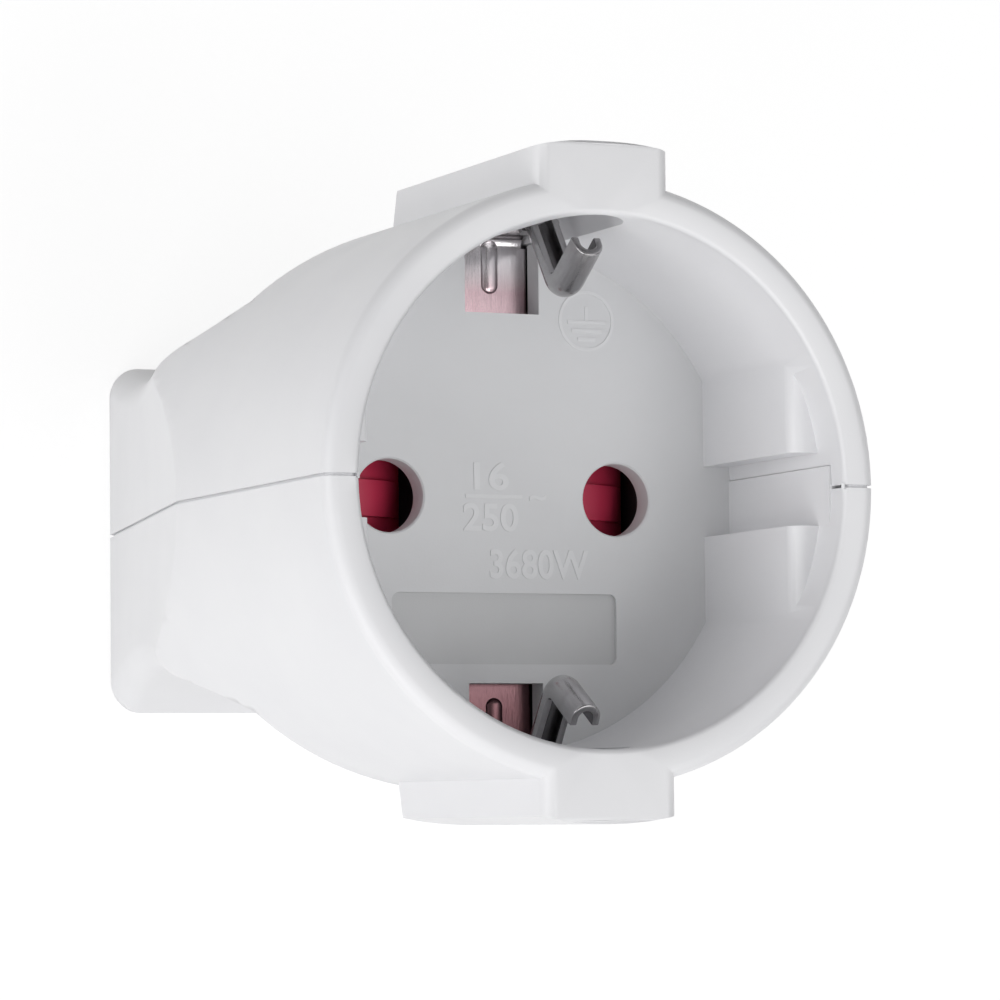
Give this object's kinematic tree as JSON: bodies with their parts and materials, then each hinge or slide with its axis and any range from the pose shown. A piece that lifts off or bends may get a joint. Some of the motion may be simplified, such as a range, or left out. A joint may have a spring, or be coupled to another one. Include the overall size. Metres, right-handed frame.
{
  "type": "type f socket coupler",
  "caption": "White rewireable type F trailing socket: round earthed recess with side clips, red shutter behind two pin holes, flat finger lugs and a waisted grip split into two half shells",
  "frame": {"origin": "centre of the flat rear end, on the plane the coupler stands on", "axes": "+X along the line of the two pins towards the neutral side, +Y towards the upper finger lug, +Z along the socket axis out of its mouth"},
  "size_m": [0.0444, 0.0498, 0.0705],
  "materials": {
    "housing": "satin white, light moulded sheen",
    "inner_moulding": "matte pale grey moulding",
    "shutter": "satin dark red",
    "spring_wire": "bright drawn wire",
    "strip_metal": "nickel plated, drawn lines",
    "contact_brass": "plain stamped brass",
    "zinc_steel": "zinc plated"
  },
  "bodies": {
    "housing": {"upper_shell": "housing", "lower_shell": "housing", "face_plate": "housing", "contact_carrier": "inner_moulding", "shutter_spring": "spring_wire", "earth_strip": "strip_metal", "earth_terminal_plate": "zinc_steel", "earth_terminal_screw": "zinc_steel", "live_contact": "contact_brass", "neutral_contact": "contact_brass", "live_terminal": "contact_brass", "neutral_terminal": "contact_brass", "live_terminal_screw": "zinc_steel", "neutral_terminal_screw": "zinc_steel", "cord_clamp": "inner_moulding", "clamp_screw_left": "zinc_steel", "clamp_screw_right": "zinc_steel", "housing_screw_left": "zinc_steel", "housing_screw_right": "zinc_steel"},
    "shutter": {"shutter": "shutter"}
  },
  "joints": [
    {"name": "shutter_slide", "type": "slide", "parent": "housing", "child": "shutter", "axis": [-1, 0, 0], "range_m": [0, 0.0058], "stiffness_N_per_m": 120, "springref_m": -0.002, "deforming": ["shutter_spring"]}
  ]
}
